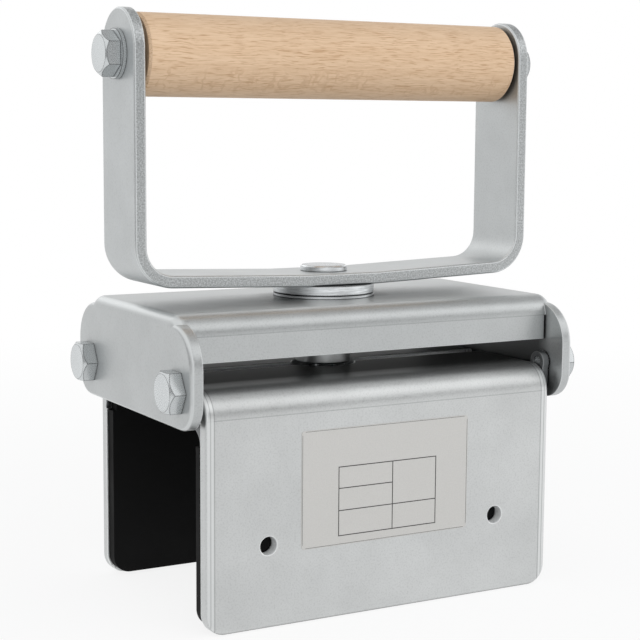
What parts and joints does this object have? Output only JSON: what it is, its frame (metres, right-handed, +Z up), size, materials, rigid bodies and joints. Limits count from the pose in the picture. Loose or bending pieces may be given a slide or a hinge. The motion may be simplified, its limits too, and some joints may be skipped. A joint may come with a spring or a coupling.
{
  "type": "kerbstone lifting tongs",
  "caption": "Self-closing hand tongs for lifting kerbstones: a wooden grip in a bent flat-bar handle swivels on a folded steel housing with two hinged, rubber-lined jaws.",
  "frame": {"origin": "on the swivel axis at the level of the jaws' lower edges, the bottom centre of the whole tool", "axes": "+Z up along the swivel pin, +X along the jaws and the grip, +Y from the front jaw to the rear jaw"},
  "size_m": [0.2454, 0.14, 0.292],
  "materials": {
    "zinc_sheet": "satin zinc",
    "zinc_fasteners": "satin zinc",
    "turned_steel": "fine turned",
    "beech": "sanded bare",
    "black_rubber": "matt moulded"
  },
  "bodies": {
    "housing": {"housing_shell": "zinc_sheet", "guide_bush": "zinc_sheet", "pivot_bolts": "zinc_fasteners"},
    "lift": {"swivel_pin": "turned_steel", "spacer_disc": "turned_steel", "slide_washer": "turned_steel", "lift_plate": "zinc_sheet", "lift_washer": "zinc_fasteners", "lift_nut": "zinc_fasteners"},
    "handle": {"handle_strap": "zinc_sheet", "grip_core": "zinc_sheet", "wood_grip": "beech", "grip_washers": "zinc_fasteners", "grip_bolts": "zinc_fasteners"},
    "front_jaw": {"front_jaw_plate": "zinc_sheet", "front_jaw_lugs": "zinc_sheet", "front_pad": "black_rubber"},
    "rear_jaw": {"rear_jaw_plate": "zinc_sheet", "rear_jaw_lugs": "zinc_sheet", "rear_pad": "black_rubber"}
  },
  "joints": [
    {"name": "lift_slide", "type": "slide", "parent": "housing", "child": "lift", "axis": [0, 0, 1], "range_m": [0, 0.0065]},
    {"name": "handle_swivel", "type": "hinge", "parent": "lift", "child": "handle", "pos_m": [0, 0, 0.1596], "axis": [0, 0, 1], "continuous": true},
    {"name": "front_jaw_pivot", "type": "hinge", "parent": "housing", "child": "front_jaw", "pos_m": [0, -0.054, 0.1155], "axis": [1, 0, 0], "range_deg": [0, 10.36]},
    {"name": "rear_jaw_pivot", "type": "hinge", "parent": "housing", "child": "rear_jaw", "pos_m": [0, 0.054, 0.1155], "axis": [-1, 0, 0], "range_deg": [0, 10.36]}
  ],
  "couplings": [
    {"joint": "front_jaw_pivot", "follows": "lift_slide", "rad_per_m": 27.778},
    {"joint": "rear_jaw_pivot", "follows": "lift_slide", "rad_per_m": 27.778}
  ]
}
